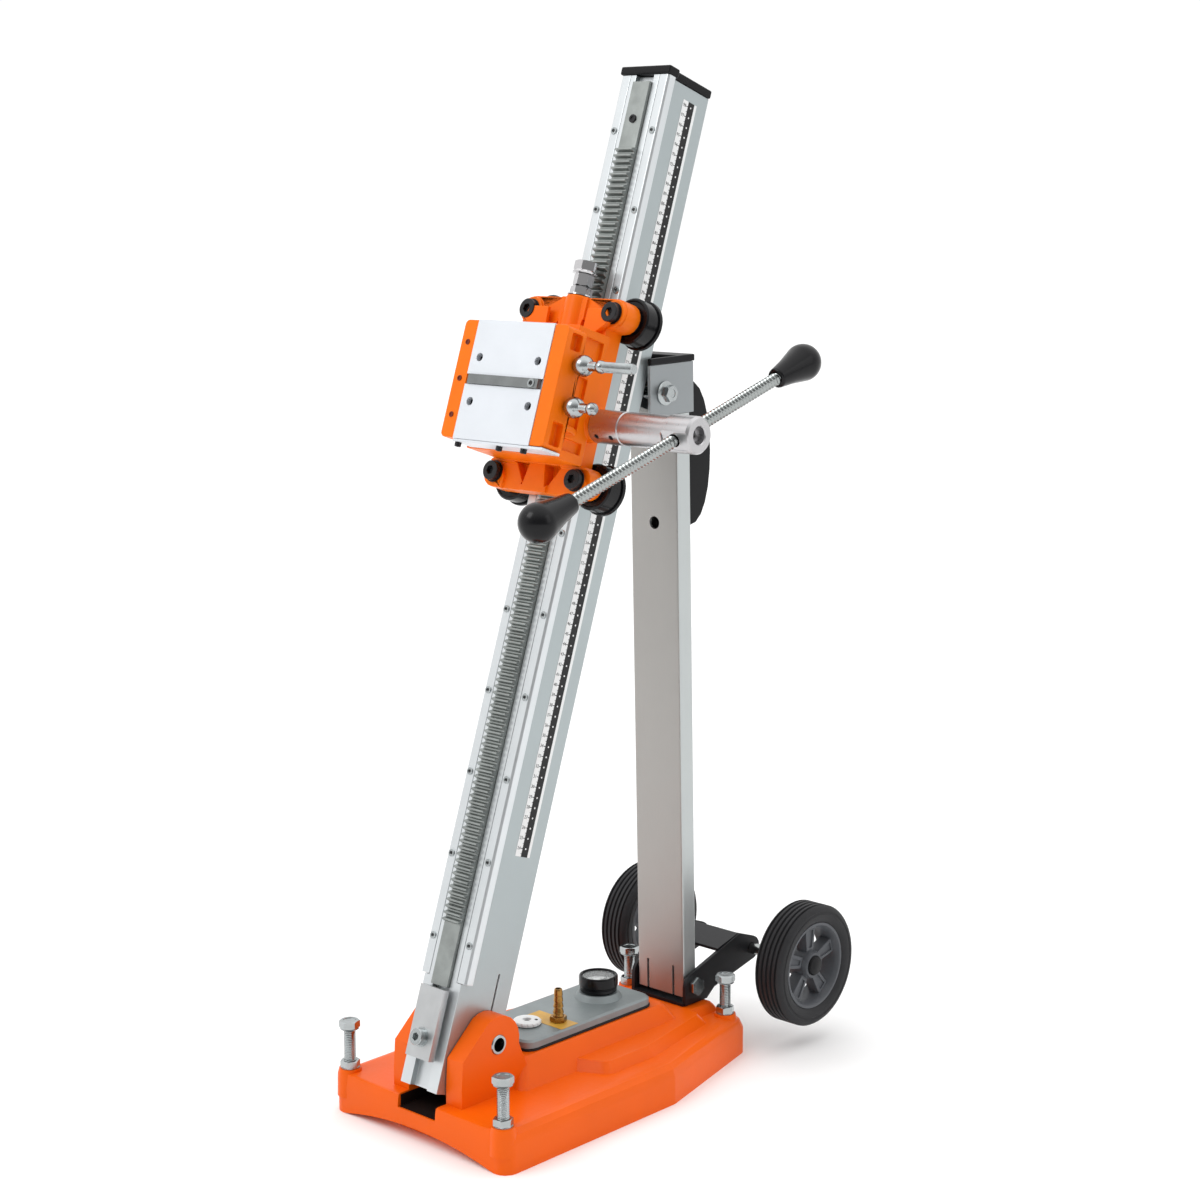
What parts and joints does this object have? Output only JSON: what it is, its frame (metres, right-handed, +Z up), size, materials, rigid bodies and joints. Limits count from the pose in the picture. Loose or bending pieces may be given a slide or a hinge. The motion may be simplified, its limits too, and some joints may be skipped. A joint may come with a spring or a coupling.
{
  "type": "core drill rig",
  "caption": "Core drill stand: vacuum base with levelling screws and wheels, tilting toothed column, rear strut and a carriage fed along it by a hand-turned pinion.",
  "frame": {"origin": "on the ground, straight below the column's tilt pivot, on the base's middle plane", "axes": "+X to the operator's right, +Y from the column towards the wheels, +Z up"},
  "size_m": [0.31, 0.5391, 1.0081],
  "materials": {
    "orange_paint": "orange gloss enamel over cast aluminium",
    "anodised_aluminium": "satin anodised",
    "bright_steel": "turned",
    "rack_steel": "cut teeth, oiled",
    "zinc_plate": "zinc plated",
    "brass": "turned",
    "bronze": "plain bush",
    "grey_casting": "as cast, grey",
    "black_plastic": "satin",
    "black_steel": "black powder coat",
    "rubber": "matt",
    "tyre_rubber": "ribbed",
    "grey_rim": "moulded",
    "white_dial": "printed white",
    "gauge_glass": "clear"
  },
  "bodies": {
    "base": {"base_casting": "orange_paint", "vacuum_seal": "rubber", "deck_gasket": "rubber", "vacuum_cover": "grey_casting", "gauge_case": "black_plastic", "gauge_dial": "white_dial", "gauge_lens": "gauge_glass", "hose_barb": "brass", "pivot_pin": "zinc_plate", "wheel_bracket": "black_steel", "strut_pin": "zinc_plate", "wheel_axle": "bright_steel"},
    "column": {"column_extrusion": "anodised_aluminium", "pivot_bush_left": "bronze", "pivot_bush_right": "bronze", "guide_rail_left": "anodised_aluminium", "guide_rail_right": "anodised_aluminium", "column_cap": "black_plastic", "toothed_rack": "rack_steel", "stop_plate": "bright_steel"},
    "strut": {"strut_tube": "anodised_aluminium", "strut_head": "anodised_aluminium", "strut_cap": "black_plastic", "head_bolt": "zinc_plate", "back_grip": "black_plastic"},
    "head_lug": {"slide_lug": "bright_steel"},
    "carriage": {"carriage_casting": "orange_paint", "motor_plate": "anodised_aluminium", "plate_key": "bright_steel", "shaft_bush_left": "bronze", "shaft_bush_right": "bronze", "roller_bolt_upper_left": "black_steel", "roller_bolt_upper_right": "black_steel", "roller_bolt_lower_left": "black_steel", "roller_bolt_lower_right": "black_steel"},
    "feed_handle": {"pinion_shaft": "bright_steel", "handle_hub": "anodised_aluminium", "handle_rod": "bright_steel", "handle_knob_front": "black_plastic", "handle_knob_rear": "black_plastic"},
    "stop_bolt": {"stop_bolt": "bright_steel"},
    "clamp_upper": {"clamp_screw_upper": "zinc_plate"},
    "clamp_lower": {"clamp_screw_lower": "zinc_plate"},
    "needle": {"gauge_needle": "black_plastic"},
    "vent": {"vent_knob": "zinc_plate"},
    "roller_upper_left": {"guide_roller_upper_left": "black_plastic"},
    "roller_upper_right": {"guide_roller_upper_right": "black_plastic"},
    "roller_lower_left": {"guide_roller_lower_left": "black_plastic"},
    "roller_lower_right": {"guide_roller_lower_right": "black_plastic"},
    "levelling_front_left": {"levelling_screw_front_left": "zinc_plate"},
    "levelling_front_right": {"levelling_screw_front_right": "zinc_plate"},
    "levelling_rear_left": {"levelling_screw_rear_left": "zinc_plate"},
    "levelling_rear_right": {"levelling_screw_rear_right": "zinc_plate"},
    "wheel_left": {"tyre_left": "tyre_rubber", "rim_left": "grey_rim"},
    "wheel_right": {"tyre_right": "tyre_rubber", "rim_right": "grey_rim"}
  },
  "joints": [
    {"name": "column_tilt", "type": "hinge", "parent": "base", "child": "column", "pos_m": [0, 0, 0.0914], "axis": [1, 0, 0], "range_deg": [-16.4, 18.6]},
    {"name": "strut_fold", "type": "hinge", "parent": "base", "child": "strut", "pos_m": [0, 0.297, 0.07], "axis": [1, 0, 0], "range_deg": [-18.5, 21]},
    {"name": "head_slide", "type": "slide", "parent": "column", "child": "head_lug", "axis": [0, 0.319, 0.9478], "range_m": [-0.103, 0.091]},
    {"name": "carriage_feed", "type": "slide", "parent": "column", "child": "carriage", "axis": [0, 0.319, 0.9478], "range_m": [-0.43, 0.15]},
    {"name": "feed_turn", "type": "hinge", "parent": "carriage", "child": "feed_handle", "pos_m": [0, 0.12582, 0.67031], "axis": [1, 0, 0], "range_deg": [-620, 1765]},
    {"name": "roller_upper_left", "type": "hinge", "parent": "carriage", "child": "roller_upper_left", "pos_m": [-0.054, 0.1789, 0.76534], "axis": [0, 0.9478, -0.319], "range_deg": [-1090, 380]},
    {"name": "roller_lower_left", "type": "hinge", "parent": "carriage", "child": "roller_lower_left", "pos_m": [-0.054, 0.12723, 0.6118], "axis": [0, 0.9478, -0.319], "range_deg": [-1090, 380]},
    {"name": "roller_upper_right", "type": "hinge", "parent": "carriage", "child": "roller_upper_right", "pos_m": [0.054, 0.1789, 0.76534], "axis": [0, 0.9478, -0.319], "range_deg": [-380, 1090]},
    {"name": "roller_lower_right", "type": "hinge", "parent": "carriage", "child": "roller_lower_right", "pos_m": [0.054, 0.12723, 0.6118], "axis": [0, 0.9478, -0.319], "range_deg": [-380, 1090]},
    {"name": "stop_bolt_set", "type": "slide", "parent": "carriage", "child": "stop_bolt", "axis": [0, 0.319, 0.9478], "range_m": [-0.01, 0.01]},
    {"name": "clamp_upper_turn", "type": "hinge", "parent": "carriage", "child": "clamp_upper", "pos_m": [0, 0.08678, 0.72987], "axis": [1, 0, 0], "range_deg": [-360, 360]},
    {"name": "clamp_lower_turn", "type": "hinge", "parent": "carriage", "child": "clamp_lower", "pos_m": [0, 0.07418, 0.69243], "axis": [1, 0, 0], "range_deg": [-360, 360]},
    {"name": "levelling_front_left", "type": "slide", "parent": "base", "child": "levelling_front_left", "axis": [0, 0, 1], "range_m": [-0.025, 0.01]},
    {"name": "levelling_front_right", "type": "slide", "parent": "base", "child": "levelling_front_right", "axis": [0, 0, 1], "range_m": [-0.025, 0.01]},
    {"name": "levelling_rear_left", "type": "slide", "parent": "base", "child": "levelling_rear_left", "axis": [0, 0, 1], "range_m": [-0.025, 0.01]},
    {"name": "levelling_rear_right", "type": "slide", "parent": "base", "child": "levelling_rear_right", "axis": [0, 0, 1], "range_m": [-0.025, 0.01]},
    {"name": "needle_swing", "type": "hinge", "parent": "base", "child": "needle", "pos_m": [0, 0.19, 0.0933], "axis": [0, 0, 1], "range_deg": [-270, 0], "stiffness_Nm_per_rad": 0.0001},
    {"name": "vent_turn", "type": "hinge", "parent": "base", "child": "vent", "pos_m": [0.002, 0.084, 0.0776], "axis": [0, 0, 1], "range_deg": [-90, 90]},
    {"name": "wheel_left_spin", "type": "hinge", "parent": "base", "child": "wheel_left", "pos_m": [-0.1085, 0.392, 0.0875], "axis": [1, 0, 0], "continuous": true},
    {"name": "wheel_right_spin", "type": "hinge", "parent": "base", "child": "wheel_right", "pos_m": [0.1085, 0.392, 0.0875], "axis": [1, 0, 0], "continuous": true}
  ],
  "couplings": [
    {"joint": "strut_fold", "follows": "column_tilt", "ratio": 1.12},
    {"joint": "head_slide", "follows": "column_tilt", "m_per_rad": -0.31513},
    {"joint": "feed_turn", "follows": "carriage_feed", "rad_per_m": -71.429},
    {"joint": "roller_upper_left", "follows": "carriage_feed", "rad_per_m": 44.053},
    {"joint": "roller_upper_right", "follows": "carriage_feed", "rad_per_m": -44.053},
    {"joint": "roller_lower_left", "follows": "carriage_feed", "rad_per_m": 44.053},
    {"joint": "roller_lower_right", "follows": "carriage_feed", "rad_per_m": -44.053}
  ]
}
